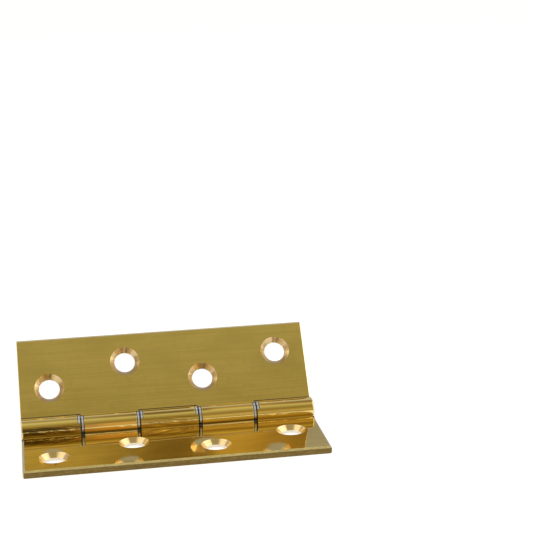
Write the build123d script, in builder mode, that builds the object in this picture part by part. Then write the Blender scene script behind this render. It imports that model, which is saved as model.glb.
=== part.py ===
from build123d import *
import os

os.makedirs("parts", exist_ok=True)

# Washered butt hinge: two brass leaves turn on one steel pin, and every joint between two
# knuckles holds two steel washers, each keyed by a flat to the leaf that it belongs to.
# The pin runs along X above the origin. The fixed leaf lies on z = 0 and reaches towards -Y.
# The moving leaf rises from the pin and leans back. All lengths are in millimetres.

# Leaves
length = 102.0
leaf_width = 33.5  # from the pin's axis to the outer edge
leaf_thickness = 2.5
opening_angle = 126.0  # between the two inner faces, as the hinge stands
outer_bevel = 0.6  # on the inner face's outer edge
fixed_end_bevel = 0.35  # round the fixed leaf's ends, knuckles too
fixed_face_bevel = 0.75  # on the ends of its inner face, beside the knuckles
moving_end_bevel = 0.2

# Knuckles
knuckle_count = 5
knuckle_radius = 4.05
knuckle_gap = 0.95  # between a knuckle and the notch of the other leaf
edge_clearance = 0.4  # between the two leaves' edges, along the pin
root_fillet = 0.3  # where a knuckle meets its inner face
notch_fillet = 0.4
knuckle_bevel = 0.12  # round the knuckle ends that face a washer

# Pin
pin_radius = 2.0
pin_inset = 0.2  # of the pin's ends below the knuckle ends
pin_bevel = 0.25
running_clearance = 0.05  # round the pin in the moving leaf's knuckles

# Washers
washer_thickness = 1.1
washer_inset = 0.15  # of the rim below the knuckle's surface
washer_bore_clearance = 0.08
washer_bevel = 0.12
rubbing_gap = 0.1  # between the two washers of a joint
lip = 0.85  # brass left between a washer's flat and the knuckle's side
flat_clearance = 0.05

# Screw holes
screw_count = 4
screw_end_margin = 10.5  # from the leaf's end to the first hole's centre
screw_edge_margin = 10.4  # from the outer edge to the outer row
screw_stagger = 7.85  # between the outer and the inner row
screw_hole_radius = 3.6
countersink_radius = 5.15
countersink_angle = 90.0

# Worked out from the sizes above
knuckle_pitch = length / knuckle_count
inner_face_level = leaf_thickness - knuckle_radius
notch_edge = knuckle_radius + knuckle_gap
washer_radius = knuckle_radius - washer_inset
washer_flat = knuckle_radius - lip
seat_depth = rubbing_gap / 2 + washer_thickness  # of a washer's seat, from the middle of the joint
screw_pitch = (length - 2 * screw_end_margin) / (screw_count - 1)
clear_of_part = 2 * knuckle_radius

# A leaf's own frame: x along the pin, y away from it along the leaf, z out of the inner face.
pin_center = (0, 0, knuckle_radius)
fixed_frame = Plane(origin=pin_center, x_dir=(-1, 0, 0), z_dir=(0, 0, 1))
moving_frame = Plane(origin=pin_center, x_dir=(1, 0, 0), z_dir=(0, 0, 1)).rotated((180 - opening_angle, 0, 0))


def across(frame, distance):
    """Plane square to the pin, at a distance from the end where the leaf's own x begins."""
    start = frame.origin + frame.x_dir * (distance - length / 2)
    return Plane(origin=start, x_dir=frame.y_dir, z_dir=frame.x_dir)


def joint_places():
    """Distance of each joint between two knuckles from the leaf's first end."""
    return [knuckle_pitch * joint for joint in range(1, knuckle_count)]


def screw_places():
    """Screw centres in a leaf's own frame, staggered between the inner and the outer row."""
    outer_row = leaf_width - screw_edge_margin
    inner_row = outer_row - screw_stagger
    places = []
    for index in range(screw_count):
        row = outer_row if index % 2 else inner_row
        places.append((screw_end_margin + index * screw_pitch - length / 2, row))
    return places


def make_leaf(label, frame, first_knuckle, bore_radius, end_bevel, face_bevel):
    """A drawn leaf with every second knuckle, from first_knuckle on."""
    own = range(first_knuckle, knuckle_count, 2)
    mating = [knuckle for knuckle in range(knuckle_count) if knuckle not in own]
    with BuildPart(frame.offset(inner_face_level)) as leaf:
        # the drawn section: a barrel with the plate's back face tangent to it
        with BuildSketch(across(frame, 0)) as section:
            Circle(knuckle_radius)
            with Locations((leaf_width / 2, inner_face_level - leaf_thickness / 2)):
                Rectangle(leaf_width, leaf_thickness)
            face_ends = section.vertices().filter_by_position(
                Axis.Y, inner_face_level - 0.001, inner_face_level + 0.001
            )
            fillet(face_ends.sort_by(Axis.X)[0], root_fillet)
        extrude(amount=length)

        # bevels round both ends and along the outer edge of the inner face
        outer_edges = leaf.edges().filter_by(Axis.X).sort_by(Axis(frame.origin, frame.y_dir))[-2:]
        inner_edge = outer_edges.sort_by(Axis(frame.origin, frame.z_dir))[-1]
        chamfer(inner_edge, outer_bevel)
        chamfer(leaf.faces().filter_by(Axis.X).edges(), end_bevel)
        if face_bevel > end_bevel:
            side = frame.origin + frame.y_dir * knuckle_radius
            with BuildSketch(Plane(origin=side, x_dir=frame.x_dir, z_dir=frame.y_dir)):
                with Locations((-length / 2, -inner_face_level), (length / 2, -inner_face_level)):
                    Rectangle(face_bevel * 2 ** 0.5, face_bevel * 2 ** 0.5, rotation=45)
            extrude(amount=leaf_width, mode=Mode.SUBTRACT)

        # notches for the other leaf's knuckles, open past the hinge's ends
        with BuildSketch(frame) as notches:
            for knuckle in mating:
                low = knuckle * knuckle_pitch - edge_clearance / 2
                high = (knuckle + 1) * knuckle_pitch + edge_clearance / 2
                if knuckle == 0:
                    low -= clear_of_part
                if knuckle == knuckle_count - 1:
                    high += clear_of_part
                with Locations(((low + high - length) / 2, (notch_edge - clear_of_part) / 2)):
                    Rectangle(high - low, notch_edge + clear_of_part)
            fillet(notches.vertices(), notch_fillet)
        extrude(amount=clear_of_part, both=True, mode=Mode.SUBTRACT)

        # washer seats, cut across the barrel up to the lip that keys the washer's flat
        with BuildSketch(frame):
            for place in joint_places():
                with Locations((place - length / 2, (washer_flat + flat_clearance - clear_of_part) / 2)):
                    Rectangle(2 * seat_depth, washer_flat + flat_clearance + clear_of_part)
        extrude(amount=clear_of_part, both=True, mode=Mode.SUBTRACT)
        barrel_rims = leaf.edges().filter_by(GeomType.CIRCLE).filter_by(
            lambda edge: abs(edge.radius - knuckle_radius) < 0.001 and edge.length > knuckle_radius
        )
        chamfer(barrel_rims, knuckle_bevel)

        # the pin's bore
        with BuildSketch(across(frame, 0)):
            Circle(bore_radius)
        extrude(amount=length, mode=Mode.SUBTRACT)

        with Locations(*screw_places()):
            CounterSinkHole(screw_hole_radius, countersink_radius, counter_sink_angle=countersink_angle)
    leaf.part.label = label
    export_step(leaf.part, f"parts/{label}.step")


def make_washer(label, frame, start):
    """A washer whose flat looks along its own leaf, from start onwards along the pin."""
    with BuildPart() as washer:
        with BuildSketch(across(frame, start)):
            Circle(washer_radius)
            with Locations((washer_flat, 0)):
                Rectangle(clear_of_part, clear_of_part, align=(Align.MIN, Align.CENTER), mode=Mode.SUBTRACT)
            Circle(pin_radius + washer_bore_clearance, mode=Mode.SUBTRACT)
        extrude(amount=washer_thickness)
        rim = washer.faces().filter_by(Axis.X).edges().filter_by(GeomType.CIRCLE)
        chamfer(rim.filter_by(lambda edge: edge.radius > pin_radius + lip), washer_bevel)
    washer.part.label = label
    export_step(washer.part, f"parts/{label}.step")


make_leaf("three_knuckle_leaf", fixed_frame, 0, pin_radius, fixed_end_bevel, fixed_face_bevel)
make_leaf(
    "two_knuckle_leaf", moving_frame, 1, pin_radius + running_clearance, moving_end_bevel, moving_end_bevel
)

# Each joint has one washer in a fixed knuckle's end and one in a moving knuckle's end.
for number, place in enumerate(joint_places(), start=1):
    before = place - seat_depth
    after = place + rubbing_gap / 2
    fixed_is_before = number % 2 == 1
    # the fixed leaf's own x runs the other way, so its distances count from the other end
    fixed_start = length - (before if fixed_is_before else after) - washer_thickness
    make_washer(f"fixed_washer_{number}", fixed_frame, fixed_start)
    make_washer(f"moving_washer_{number}", moving_frame, after if fixed_is_before else before)

# Hinge pin, pressed into the fixed leaf's knuckles
with BuildPart() as hinge_pin:
    with BuildSketch(across(moving_frame, pin_inset)):
        Circle(pin_radius)
    extrude(amount=length - 2 * pin_inset)
    chamfer(hinge_pin.edges().filter_by(GeomType.CIRCLE), pin_bevel)
hinge_pin.part.label = "hinge_pin"
export_step(hinge_pin.part, "parts/hinge_pin.step")
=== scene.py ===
import bpy
import math
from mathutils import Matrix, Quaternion, Vector


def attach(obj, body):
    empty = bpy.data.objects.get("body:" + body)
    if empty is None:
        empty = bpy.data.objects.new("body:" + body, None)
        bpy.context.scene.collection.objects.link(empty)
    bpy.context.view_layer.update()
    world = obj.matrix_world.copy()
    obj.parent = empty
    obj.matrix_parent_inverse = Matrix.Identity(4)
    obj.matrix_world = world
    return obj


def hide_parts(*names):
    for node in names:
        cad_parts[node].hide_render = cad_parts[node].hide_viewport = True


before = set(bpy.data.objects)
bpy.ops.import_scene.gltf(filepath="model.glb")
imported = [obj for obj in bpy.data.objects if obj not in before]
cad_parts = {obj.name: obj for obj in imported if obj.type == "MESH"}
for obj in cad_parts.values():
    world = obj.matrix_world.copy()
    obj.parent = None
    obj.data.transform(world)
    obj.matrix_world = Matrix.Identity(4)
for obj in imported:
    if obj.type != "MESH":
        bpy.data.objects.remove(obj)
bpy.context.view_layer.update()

MM = 0.001

# The hinge as part.py builds it, in millimetres
length = 102.0
pin_center = Vector((0, 0, 4.05))
opening_angle = math.radians(126)
knuckle_radius = 4.05
knuckle_pitch = length / 5
leaf_width = 33.5
leaf_thickness = 2.5
inner_face_level = leaf_thickness - knuckle_radius
outer_bevel = 0.6
end_bevel = 0.75  # the widest of the bevels on the leaves' ends
countersink_radius = 5.15
screw_columns = (-40.5, -13.5, 13.5, 40.5)
screw_rows = (15.25, 23.1)
washer_thickness = 1.1

# A leaf's own directions: away from the pin along the leaf, and out of its inner face
fixed_away, fixed_out = Vector((0, -1, 0)), Vector((0, 0, 1))
moving_away = Vector((0, -math.cos(opening_angle), math.sin(opening_angle)))
moving_out = Vector((0, -moving_away.z, moving_away.y))


# Node helpers. A value is a number, a colour or another node's output.

def add(tree, kind, settings=None, inputs=None):
    """A shader node with its settings and the values of its inputs."""
    made = tree.nodes.new("ShaderNode" + kind)
    for name, value in (settings or {}).items():
        setattr(made, name, value)
    for name, value in (inputs or {}).items():
        if isinstance(value, bpy.types.NodeSocket):
            tree.links.new(value, made.inputs[name])
        else:
            made.inputs[name].default_value = value
    return made


def math_node(tree, operation, first, second=0.0):
    return add(tree, "Math", {"operation": operation}, {0: first, 1: second}).outputs[0]


def product(tree, first, *others):
    for other in others:
        first = math_node(tree, "MULTIPLY", first, other)
    return first


def total(tree, parts):
    """The sum of (value, factor) pairs."""
    result = 0.0
    for value, factor in parts:
        result = add(tree, "Math", {"operation": "MULTIPLY_ADD"}, {0: value, 1: factor, 2: result}).outputs[0]
    return result


def vector_node(tree, operation, first, second=None, scale=None):
    inputs = {0: first}
    if second is not None:
        inputs[1] = second
    if scale is not None:
        inputs["Scale"] = scale
    return add(tree, "VectorMath", {"operation": operation}, inputs).outputs["Vector"]


def combine(tree, x=0.0, y=0.0, z=0.0):
    return add(tree, "CombineXYZ", inputs={0: x, 1: y, 2: z}).outputs["Vector"]


def ramp(tree, factor, stops, interpolation="LINEAR"):
    """A colour ramp's colour output, from (place, colour) stops."""
    made = add(tree, "ValToRGB", inputs={"Fac": factor})
    made.color_ramp.interpolation = interpolation
    elements = made.color_ramp.elements
    while len(elements) < len(stops):
        elements.new(0.5)
    for element, (place, color) in zip(elements, stops):
        element.position = place
        element.color = (*color, 1)
    return made.outputs["Color"]


def remap(tree, value, low, high, to_low=0.0, to_high=1.0, smooth=False):
    settings = {"interpolation_type": "SMOOTHSTEP" if smooth else "LINEAR", "clamp": True}
    inputs = {"Value": value, "From Min": low, "From Max": high, "To Min": to_low, "To Max": to_high}
    return add(tree, "MapRange", settings, inputs).outputs["Result"]


def window(tree, value, low, high, soft):
    """1 between low and high, with soft edges."""
    rising = remap(tree, value, low - soft, low + soft, 0.0, 1.0, True)
    falling = remap(tree, value, high - soft, high + soft, 1.0, 0.0, True)
    return product(tree, rising, falling)


def noise(tree, vector, scale, detail=2.0, roughness=0.5):
    """Noise, mostly between 0.3 and 0.7."""
    inputs = {"Vector": vector, "Scale": scale, "Detail": detail, "Roughness": roughness}
    return add(tree, "TexNoise", inputs=inputs).outputs["Fac"]


def drawn_noise(tree, vector, scales, detail, roughness=0.5):
    """Noise that is drawn out along some axes, by its scale along each."""
    return noise(tree, vector_node(tree, "MULTIPLY", vector, scales), 1.0, detail, roughness)


def mix(tree, factor, first, second, blend="MIX"):
    settings = {"data_type": "RGBA", "blend_type": blend}
    made = add(tree, "Mix", settings, {0: factor})
    for index, value in ((6, first), (7, second)):
        if isinstance(value, bpy.types.NodeSocket):
            tree.links.new(value, made.inputs[index])
        else:
            made.inputs[index].default_value = (*value, 1)
    return made.outputs[2]


def between(tree, pattern, first, second):
    """A colour that goes from the first to the second with a noise pattern."""
    return mix(tree, remap(tree, pattern, 0.35, 0.65), first, second)


def rough_between(tree, pattern, low, high):
    """A roughness that follows a noise pattern."""
    return remap(tree, pattern, 0.3, 0.7, low, high)


def bump(tree, *heights):
    """A bump from (pattern, millimetres) pairs."""
    inputs = {"Strength": 1.0, "Distance": MM, "Height": total(tree, heights)}
    return add(tree, "Bump", inputs=inputs).outputs["Normal"]


def new_material(name):
    material = bpy.data.materials.new(name)
    material.use_nodes = True
    material.node_tree.nodes.clear()
    return material, material.node_tree


def finish_metal(tree, tone, rough, normal, **others):
    inputs = {"Base Color": tone, "Metallic": 1.0, "Roughness": rough, "Normal": normal, **others}
    principled = add(tree, "BsdfPrincipled", inputs=inputs)
    add(tree, "OutputMaterial", inputs={"Surface": principled.outputs["BSDF"]})


def leaf_place(tree, away, out):
    """Millimetres in a leaf's own frame: along the pin, away from it, and out of the inner face."""
    coordinates = add(tree, "TexCoord").outputs["Object"]
    scaled = vector_node(tree, "SCALE", coordinates, scale=1 / MM)
    place = vector_node(tree, "SUBTRACT", scaled, pin_center)
    parts = [
        add(tree, "VectorMath", {"operation": "DOT_PRODUCT"}, {0: place, 1: axis}).outputs["Value"]
        for axis in (Vector((1, 0, 0)), away, out)
    ]
    return combine(tree, *parts), parts


def to_world(tree, vector):
    settings = {"vector_type": "VECTOR", "convert_from": "OBJECT", "convert_to": "WORLD"}
    return add(tree, "VectorTransform", settings, {"Vector": vector}).outputs["Vector"]


# Materials. Noise scales are per millimetre, in a leaf's own frame: along the pin, away from it, outwards.

def brass_face(name, away, out):
    """Flat faces, polished along the pin. The fixed leaf's is nearly a mirror."""
    material, tree = new_material(name)
    place, _ = leaf_place(tree, away, out)
    if away.z == 0:
        dark, light = (0.80, 0.58, 0.15), (0.90, 0.67, 0.20)
        roughness, wave_height = 0.04, 0.07
    else:
        dark, light = (0.84, 0.70, 0.295), (0.95, 0.79, 0.355)
        roughness, wave_height = 0.10, 0.05
    darker = tuple(0.90 * part for part in dark)
    stain_tone = (0.74, 0.62, 0.30)

    streaks = drawn_noise(tree, place, (0.02, 1.5, 1.5), 4.0, 0.62)
    scratches = drawn_noise(tree, place, (0.10, 9.0, 9.0), 2.0)
    clouds = drawn_noise(tree, place, (0.05, 0.08, 0.08), 3.0)
    waves = drawn_noise(tree, place, (0.07, 0.12, 0.12), 1.0, 0.4)
    stains = noise(tree, place, 0.5, 4.0, 0.6)
    tone = between(tree, streaks, dark, light)
    tone = mix(tree, remap(tree, clouds, 0.45, 0.68, 0.0, 0.6), tone, darker)
    tone = mix(tree, remap(tree, stains, 0.52, 0.70, 0.0, 0.35), tone, stain_tone)
    streaked = rough_between(tree, streaks, 0.0, 1.0)
    rough = total(tree, [(streaked, roughness * 0.7), (clouds, roughness * 0.5), (1.0, roughness * 0.4)])
    normal = bump(tree, (streaks, 0.003), (scratches, 0.0006), (waves, wave_height))
    finish_metal(tree, tone, rough, normal, Anisotropic=0.6, Tangent=to_world(tree, tuple(away)))
    return material


def brass_barrel(name, away, out):
    """Knuckles: polished to a mirror in front; below it, mostly towards -X, wavy and with dark brown patches.
    """
    material, tree = new_material(name)
    place, (along, from_pin, outwards) = leaf_place(tree, away, out)
    low_front = remap(tree, outwards, 2.6, 1.4, 0.0, 1.0, True)
    # all of it up to the middle knuckle, and little of it on the last
    to_the_right = remap(tree, along, 0.5 * knuckle_pitch - 1, 1.5 * knuckle_pitch, 1.0, 0.15, True)
    low_left_front = product(tree, low_front, to_the_right)

    streaks = drawn_noise(tree, place, (0.04, 3.0, 3.0), 3.0, 0.6)
    swells = drawn_noise(tree, place, (0.12, 0.2, 0.2), 1.0, 0.4)
    slanted = combine(
        tree,
        total(tree, [(along, 0.14), (outwards, 0.3)]),
        total(tree, [(outwards, 1.3), (along, 0.13)]),
        from_pin,
    )
    ripples = noise(tree, slanted, 1.0, 2.0, 0.55)
    patchiness = drawn_noise(tree, slanted, (1.0, 2.2, 0.5), 3.0, 0.55)
    # dark brown patches, low on the front and mostly towards -X
    dark_low_patches = product(tree, remap(tree, patchiness, 0.40, 0.56, 0.0, 0.85), low_left_front)
    tone = between(tree, streaks, (0.84, 0.64, 0.22), (0.92, 0.72, 0.28))
    tone = mix(tree, dark_low_patches, tone, (0.38, 0.275, 0.09))
    normal = bump(tree, (streaks, 0.0008), (swells, 0.02), (product(tree, low_left_front, ripples), 0.045))
    finish_metal(tree, tone, rough_between(tree, streaks, 0.05, 0.09), normal)
    return material


def sawn_brass(name, away, out, dark, light, worn):
    """Dull surfaces with a worn skin."""
    material, tree = new_material(name)
    place, _ = leaf_place(tree, away, out)
    streaks = drawn_noise(tree, place, (0.25, 5.0, 5.0), 4.0, 0.65)
    blotches = noise(tree, place, 0.6, 4.0, 0.6)
    tone = between(tree, blotches, dark, light)
    tone = mix(tree, remap(tree, streaks, 0.35, 0.65, 0.0, 0.7), tone, worn)
    normal = bump(tree, (streaks, 0.010), (blotches, 0.014))
    finish_metal(tree, tone, rough_between(tree, blotches, 0.28, 0.45), normal)
    return material


def brass_edge(name, away, out):
    """Sawn edges and notches: brown with age, and darker still with painted shade."""
    dark, light, worn = (0.18, 0.123, 0.039), (0.275, 0.188, 0.065), (0.11, 0.074, 0.023)
    return sawn_brass(name, away, out, dark, light, worn)


def brass_wall(name, away, out):
    """Walls of the screw holes, pale: painted light that stands in for the glare of the white floor they
    mirror.
    """
    dark, light, worn = (0.84, 0.78, 0.66), (0.97, 0.92, 0.82), (0.68, 0.60, 0.46)
    return sawn_brass(name, away, out, dark, light, worn)


def brass_end(name, away, out):
    """The lying leaf's bevel at -X: a darker, greyer copy of the bevel brass, as painted shade."""
    dark, light, worn = (0.48, 0.41, 0.26), (0.66, 0.57, 0.37), (0.34, 0.28, 0.16)
    return sawn_brass(name, away, out, dark, light, worn)


def brass_cone(name, away, out):
    """Countersinks with turned rings: the light fans out across the rings."""
    material, tree = new_material(name)
    _, (along, from_pin, outwards) = leaf_place(tree, away, out)
    # the nearest screw's column, and its row, which alternates
    first_column = screw_columns[0]
    pitch = screw_columns[1] - first_column
    first_row, second_row = screw_rows if away.z else reversed(screw_rows)
    index = math_node(tree, "ROUND", total(tree, [(along, 1 / pitch), (1.0, -first_column / pitch)]))
    column = total(tree, [(index, pitch), (1.0, first_column)])
    row = remap(tree, math_node(tree, "MODULO", index, 2.0), 0.0, 1.0, first_row, second_row)
    # down the cone: away from the screw's centre and out of the face in equal parts
    sideways = combine(tree, math_node(tree, "SUBTRACT", along, column))
    endways = vector_node(tree, "SCALE", tuple(away), scale=math_node(tree, "SUBTRACT", from_pin, row))
    outward = vector_node(tree, "NORMALIZE", vector_node(tree, "ADD", sideways, endways))
    slope = vector_node(tree, "ADD", outward, tuple(out))

    rings = noise(tree, combine(tree, outwards, index), 2.6)
    tone = between(tree, rings, (0.66, 0.49, 0.26), (0.78, 0.60, 0.34))
    rough, normal = rough_between(tree, rings, 0.19, 0.24), bump(tree, (rings, 0.0012))
    finish_metal(tree, tone, rough, normal, Anisotropic=0.85, Tangent=to_world(tree, slope))
    return material


def brass_bevel(name, away, out):
    """Bevels rubbed down by hand, paler and duller than the faces."""
    material, tree = new_material(name)
    place, _ = leaf_place(tree, away, out)
    streaks = drawn_noise(tree, place, (0.5, 2.0, 2.0), 3.0, 0.6)
    tone = between(tree, streaks, (0.76, 0.64, 0.36), (0.94, 0.82, 0.50))
    finish_metal(tree, tone, rough_between(tree, streaks, 0.24, 0.36), bump(tree, (streaks, 0.004)))
    return material


def washer_steel(name):
    """Ground steel, with painted shade: dark lines where a washer meets its neighbour and its seat, and darker
    towards the bottom.
    """
    material, tree = new_material(name)
    place, (along, _, outwards) = leaf_place(tree, fixed_away, fixed_out)
    rings = drawn_noise(tree, place, (9.0, 0.3, 0.3), 3.0, 0.6)
    spots = noise(tree, place, 1.5, 3.0, 0.6)
    # distance from the middle of the nearest joint between two knuckles
    steps = total(tree, [(along, 1 / knuckle_pitch), (1.0, 0.5)])
    nearest = total(tree, [(math_node(tree, "ROUND", steps), knuckle_pitch), (1.0, -0.5 * knuckle_pitch)])
    off = math_node(tree, "ABSOLUTE", math_node(tree, "SUBTRACT", along, nearest))
    # painted shade: dark lines along both sides of a washer, where it meets its neighbour and its seat
    inner_line = remap(tree, off, 0.16, 0.36, 1.0, 0.0, True)
    outer_line = remap(tree, off, washer_thickness - 0.28, washer_thickness - 0.08, 0.0, 1.0, True)
    line = math_node(tree, "MAXIMUM", inner_line, outer_line)
    # painted shade, darker below the front
    low_shade = remap(tree, outwards, 0.4, -1.0, 0.0, 0.95, True)
    painted_shade = product(tree, math_node(tree, "MAXIMUM", line, low_shade), 0.96)

    tone = between(tree, rings, (0.58, 0.66, 1.0), (0.82, 0.87, 1.0))
    tone = mix(tree, remap(tree, spots, 0.50, 0.72, 0.0, 0.5), tone, (0.40, 0.45, 0.58))
    # the painted shade, near black
    tone = mix(tree, painted_shade, tone, (0.02, 0.02, 0.03))
    rough, normal = rough_between(tree, spots, 0.10, 0.20), bump(tree, (rings, 0.004))
    finish_metal(tree, tone, rough, normal, Metallic=0.6)
    return material


def pin_steel(name):
    """Ground steel, with turned rings on the ends."""
    material, tree = new_material(name)
    place, (_, from_pin, outwards) = leaf_place(tree, fixed_away, fixed_out)
    from_axis = combine(tree, 0.0, from_pin, outwards)
    radius = add(tree, "VectorMath", {"operation": "LENGTH"}, {0: from_axis}).outputs["Value"]
    rings = noise(tree, combine(tree, radius), 6.0, 3.0, 0.6)
    spots = noise(tree, place, 1.2, 3.0, 0.6)
    tone = between(tree, rings, (0.36, 0.38, 0.41), (0.56, 0.58, 0.62))
    tone = mix(tree, remap(tree, spots, 0.45, 0.7, 0.0, 0.5), tone, (0.30, 0.29, 0.28))
    finish_metal(tree, tone, rough_between(tree, spots, 0.20, 0.36), bump(tree, (rings, 0.006)))
    return material


# Leaves: the CAD meshes with a material for each kind of surface

FACE, BARREL, EDGE, CONE, BEVEL, WALL, END = range(7)
makers = (brass_face, brass_barrel, brass_edge, brass_cone, brass_bevel, brass_wall, brass_end)
tolerance = 0.01


def kind_of_surface(polygon, away, out, first_row):
    """What a polygon of a leaf belongs to, and whether it is shaded as part of a rounded edge."""
    middle = polygon.center / MM - pin_center
    x, y, z = middle.x, middle.dot(away), middle.dot(out)
    sideways, reach, lift = abs(polygon.normal.x), polygon.normal.dot(away), polygon.normal.dot(out)
    to_hole = min(
        math.hypot(x - column, y - screw_rows[(index + first_row) % 2])
        for index, column in enumerate(screw_columns)
    )
    between_faces = inner_face_level - leaf_thickness + tolerance < z < inner_face_level - 0.1 * tolerance
    # the back face is tangent to the barrel, so it comes near it there
    on_back = lift < -0.5 and y > knuckle_radius + 0.1
    from_axis = math.hypot(y, z)
    on_barrel = knuckle_radius - 0.25 < from_axis < knuckle_radius + 0.02 and not on_back
    on_end_bevel = 0.3 < sideways < 0.95

    if to_hole < countersink_radius - tolerance and between_faces:
        return (CONE if lift > 0.3 else WALL), False
    if on_end_bevel and on_barrel:
        return BEVEL, True
    if on_end_bevel and abs(x) > length / 2 - end_bevel - tolerance:
        if away.z:
            return BEVEL, False
        return (END if x < 0 else EDGE), False
    if min(lift, reach) > 0.5 and y > leaf_width - outer_bevel - tolerance:
        return BEVEL, False
    if on_barrel and sideways < 0.3:
        return BARREL, False
    in_notch_corner = sideways > 0.05 and abs(lift) < 0.1
    if sideways > 0.9 or abs(reach) > 0.95 or in_notch_corner:
        return EDGE, False
    return FACE, False


def round_off(mesh, rounded):
    """Shades bevels as rounded edges: their corners take the normals of the larger faces beside them."""
    def place_of(loop):
        return tuple(round(part, 7) for part in mesh.vertices[mesh.loops[loop].vertex_index].co)

    normals = [Vector(corner.vector) for corner in mesh.corner_normals]
    beside = {}
    for polygon in mesh.polygons:
        if polygon.index not in rounded:
            for loop in polygon.loop_indices:
                beside.setdefault(place_of(loop), []).append((polygon.area, tuple(normals[loop])))
    smoothed = [tuple(normal) for normal in normals]
    for index in rounded:
        polygon = mesh.polygons[index]
        for loop in polygon.loop_indices:
            neighbours = beside.get(place_of(loop), [])
            near = [pair for pair in neighbours if Vector(pair[1]).dot(polygon.normal) > 0.5]
            if near:
                smoothed[loop] = max(near)[1]
    mesh.normals_split_custom_set(smoothed)


def dress_leaf(node, body, away, out, first_row):
    """A copy of a leaf's mesh that stands for the CAD node, with its faces sorted by kind."""
    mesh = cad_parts[node].data.copy()
    piece = bpy.data.objects.new(f"{node}_dressed", mesh)
    bpy.context.scene.collection.objects.link(piece)
    mesh.materials.clear()
    for maker in makers:
        mesh.materials.append(maker(f"{maker.__name__}_{body}", away, out))
    rounded = set()
    for polygon in mesh.polygons:
        polygon.material_index, is_rounded = kind_of_surface(polygon, away, out, first_row)
        if is_rounded:
            rounded.add(polygon.index)
    round_off(mesh, rounded)
    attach(piece, body)
    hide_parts(node)


dress_leaf("three_knuckle_leaf", "fixed_leaf", fixed_away, fixed_out, 1)
dress_leaf("two_knuckle_leaf", "moving_leaf", moving_away, moving_out, 0)

washer_material = washer_steel("washer_steel_ground")
for name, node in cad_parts.items():
    if "washer" in name:
        node.data.materials[0] = washer_material
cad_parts["hinge_pin"].data.materials[0] = pin_steel("pin_steel_ground")


# Floor: white to look at and in reflections, and plain to everything else

floor_size = 6.0
floor_level = -0.02 * MM
corners = [(-1, -1), (1, -1), (1, 1), (-1, 1)]
floor_mesh = bpy.data.meshes.new("floor")
floor_mesh.from_pydata([(x * floor_size, y * floor_size, floor_level) for x, y in corners], [], [(0, 1, 2, 3)])
floor = bpy.data.objects.new("floor", floor_mesh)
bpy.context.scene.collection.objects.link(floor)
material, tree = new_material("pale_floor")
path = add(tree, "LightPath").outputs
sees_white = total(tree, [
    (path["Is Camera Ray"], 1.0), (path["Is Glossy Ray"], 1.0), (path["Is Transmission Ray"], 1.0),
])

# the shadow below the pin, as the knuckles mirror it: deepest behind the pin
spot = add(tree, "SeparateXYZ", inputs={0: add(tree, "TexCoord").outputs["Object"]}).outputs
shadow_end = (length / 2 + 1.5) * MM
shadow_front, shadow_back = -5.5 * MM, 30 * MM
below_pin = product(
    tree,
    window(tree, spot["X"], -shadow_end, shadow_end, MM),
    window(tree, spot["Y"], shadow_front, shadow_back, 0.5 * MM),
    path["Is Glossy Ray"],
)
shadow = mix(tree, remap(tree, spot["Y"], -MM, MM), (0.62, 0.55, 0.40), (0.12, 0.08, 0.04))
white = mix(tree, below_pin, (1, 1, 1), shadow)
glow = add(tree, "Emission", inputs={"Color": white, "Strength": 0.82})
catcher = add(tree, "BsdfDiffuse", inputs={"Color": (0.40, 0.40, 0.40, 1)})
seen = add(tree, "AddShader", inputs={0: glow.outputs[0], 1: catcher.outputs[0]})
plain = add(tree, "BsdfDiffuse", inputs={"Color": (0.8, 0.8, 0.8, 1)})
both = add(tree, "MixShader", inputs={0: sees_white, 1: plain.outputs[0], 2: seen.outputs[0]})
add(tree, "OutputMaterial", inputs={"Surface": both.outputs[0]})
floor_mesh.materials.append(material)


# Studio: what the brass reflects, by the direction's shares along the pin, to the back and up

world = bpy.data.worlds.new("studio")
bpy.context.scene.world = world
world.use_nodes = True
tree = world.node_tree
tree.nodes.clear()
direction = add(tree, "TexCoord").outputs["Generated"]
shares = add(tree, "SeparateXYZ", inputs={0: direction}).outputs
across, depth, rise = shares["X"], shares["Y"], shares["Z"]

# brightness by the angle round the pin, in degrees: from the horizon in front over the top to the one behind
turn = math_node(tree, "ARCTAN2", rise, product(tree, depth, -1.0))
studio_ramp = [
    (0, (0.36, 0.25, 0.08)),
    (10, (0.50, 0.41, 0.20)),
    (20, (0.58, 0.49, 0.27)),
    (30, (0.46, 0.36, 0.16)),
    (42, (0.31, 0.23, 0.08)),
    (49, (0.33, 0.26, 0.10)),
    (55, (0.41, 0.35, 0.17)),
    (61, (0.43, 0.38, 0.19)),
    (70, (0.52, 0.48, 0.29)),
    (80, (0.66, 0.63, 0.43)),
    (88, (0.60, 0.56, 0.37)),
    (94, (0.50, 0.445, 0.26)),
    (101, (0.385, 0.325, 0.18)),
    (110, (0.355, 0.31, 0.21)),
    (120, (0.50, 0.50, 0.50)),
    (132, (0.64, 0.65, 0.72)),
    (146, (0.60, 0.60, 0.66)),
    (156, (0.40, 0.40, 0.43)),
    (166, (0.33, 0.35, 0.38)),
    (180, (0.42, 0.42, 0.44)),
]
stops = [(angle / 180, color) for angle, color in studio_ramp]
studio = ramp(tree, math_node(tree, "DIVIDE", turn, math.pi), stops, "EASE")

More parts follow.
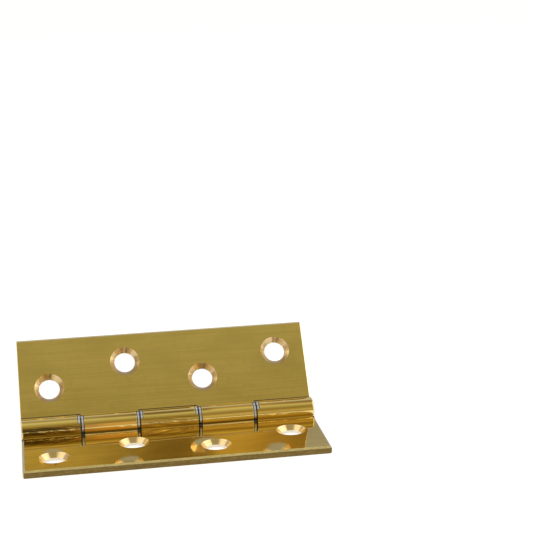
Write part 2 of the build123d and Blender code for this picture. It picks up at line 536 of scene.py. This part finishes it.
# bright and dark stretches of the ceiling, by the share along the pin
ceiling_angle = math.radians(97)
from_ceiling = math_node(tree, "ABSOLUTE", math_node(tree, "SUBTRACT", turn, ceiling_angle))
overhead = remap(tree, from_ceiling, 0.12, 0.35, 1.0, 0.0)
ceiling_ramp = [
    (-0.03, (1.10, 1.12, 1.25)),
    (0.020, (1.00, 1.02, 1.15)),
    (0.050, (0.72, 0.69, 0.65)),
    (0.078, (0.43, 0.37, 0.31)),
    (0.108, (0.40, 0.33, 0.26)),
    (0.115, (1.22, 1.12, 0.95)),
    (0.132, (1.16, 1.04, 0.88)),
    (0.150, (0.98, 0.83, 0.64)),
    (0.165, (0.74, 0.61, 0.46)),
    (0.190, (0.52, 0.44, 0.35)),
    (0.220, (0.70, 0.70, 0.70)),
]
first, last = ceiling_ramp[0][0], ceiling_ramp[-1][0]
stops = [((share - first) / (last - first), color) for share, color in ceiling_ramp]
# noise shifts their limits to and fro by up to half of this
wavering = 0.012
patches = drawn_noise(tree, direction, (20, 9, 9), 2.0)
shifted = total(tree, [(patches, wavering), (across, 1.0), (1.0, -wavering / 2)])
ceiling = ramp(tree, remap(tree, shifted, first, last), stops, "EASE")
studio = mix(tree, 1.0, studio, mix(tree, overhead, (1, 1, 1), ceiling), "MULTIPLY")

in_front = remap(tree, depth, -0.2, 0.0, 1.0, 0.0)


def paint_in_front(tree, studio, strength, across_limits, rise_limits, rise_soft, color):
    """The studio with a colour laid over an area in front."""
    across_soft = 0.003
    area = product(
        tree,
        window(tree, across, *across_limits, across_soft),
        window(tree, rise, *rise_limits, rise_soft),
        in_front,
        strength,
    )
    return mix(tree, area, studio, color)


# the warm thing that the second knuckle mirrors, low in front, with a pale line below it
studio = paint_in_front(tree, studio, 0.85, (0.027, 0.064), (0.05, 0.52), 0.08, (0.70, 0.42, 0.20))
studio = paint_in_front(tree, studio, 0.8, (0.027, 0.080), (0.02, 0.13), 0.03, (0.66, 0.56, 0.38))

# the dark camera, left of it
mottling = drawn_noise(tree, direction, (30, 30, 60), 3.0, 0.6)
camera_tone = mix(tree, remap(tree, mottling, 0.42, 0.66), (0.03, 0.022, 0.012), (0.17, 0.13, 0.06))
studio = paint_in_front(tree, studio, 0.95, (-0.25, 0.027), (-0.5, 0.60), 0.06, camera_tone)

# towards both sides the room is plain, with a light low at the right
aside = remap(tree, math_node(tree, "ABSOLUTE", across), 0.35, 0.75, 0.0, 1.0, True)
room = ramp(tree, rise, [(0.0, (0.62, 0.51, 0.34)), (0.25, (0.74, 0.64, 0.47)), (0.7, (0.66, 0.61, 0.48))])
studio = mix(tree, aside, studio, room)
low_right = product(tree, remap(tree, across, 0.86, 0.90), window(tree, rise, -0.3, 0.13, 0.02))
studio = mix(tree, low_right, studio, (1.4, 1.35, 1.2))

# white behind everything; reflections see it up to just above the horizon, and the studio from there on
path = add(tree, "LightPath").outputs
low_backdrop = product(tree, path["Is Glossy Ray"], remap(tree, rise, 0.0, 0.01, 1.0, 0.0))
sees_white = total(tree, [
    (path["Is Camera Ray"], 1.0), (path["Is Transmission Ray"], 1.0), (low_backdrop, 1.0),
])
background = add(tree, "Background", inputs={"Color": studio, "Strength": 1.0})
white = add(tree, "Background", inputs={"Color": (1, 1, 1, 1), "Strength": 1.0})
both = add(tree, "MixShader", inputs={0: sees_white, 1: background.outputs[0], 2: white.outputs[0]})
add(tree, "OutputWorld", inputs={"Surface": both.outputs[0]})


def softbox(name, toward, width, height, radiance):
    """A lamp that looks at the hinge from that direction; radiance 1 is as bright as white."""
    distance = 1.3
    lamp = bpy.data.lights.new(name, "AREA")
    lamp.shape = "RECTANGLE"
    lamp.size, lamp.size_y = width, height
    lamp.energy = radiance * math.pi * width * height
    lamp.color = (1, 0.96, 0.88)
    holder = bpy.data.objects.new(name, lamp)
    holder.location = Vector(toward).normalized() * distance
    holder.rotation_mode = "QUATERNION"
    holder.rotation_quaternion = (-Vector(toward)).to_track_quat("-Z", "Y")
    bpy.context.scene.collection.objects.link(holder)


softbox("right_softbox", (0.845, 0.03, 0.535), 1.35, 1.55, 1.35)
softbox("left_softbox", (-0.64, 0.02, 0.77), 0.85, 1.2, 0.95)

# Camera, matched to the photograph
camera_place = Vector((-43.88, -481.66, 181.21)) * MM
camera_target = Vector((35.70, 0, 56.93)) * MM
camera_roll = math.radians(-1.273)
camera_data = bpy.data.cameras.new("photo_camera")
camera_data.sensor_width = 36
camera_data.lens = 98.87
camera_data.clip_start, camera_data.clip_end = 0.01, 50
camera = bpy.data.objects.new("photo_camera", camera_data)
camera.location = camera_place
camera.rotation_mode = "QUATERNION"
facing = (camera_target - camera_place).to_track_quat("-Z", "Y")
camera.rotation_quaternion = facing @ Quaternion((0, 0, 1), camera_roll)
bpy.context.scene.collection.objects.link(camera)
bpy.context.scene.camera = camera
bpy.context.scene.view_settings.view_transform = "Standard"
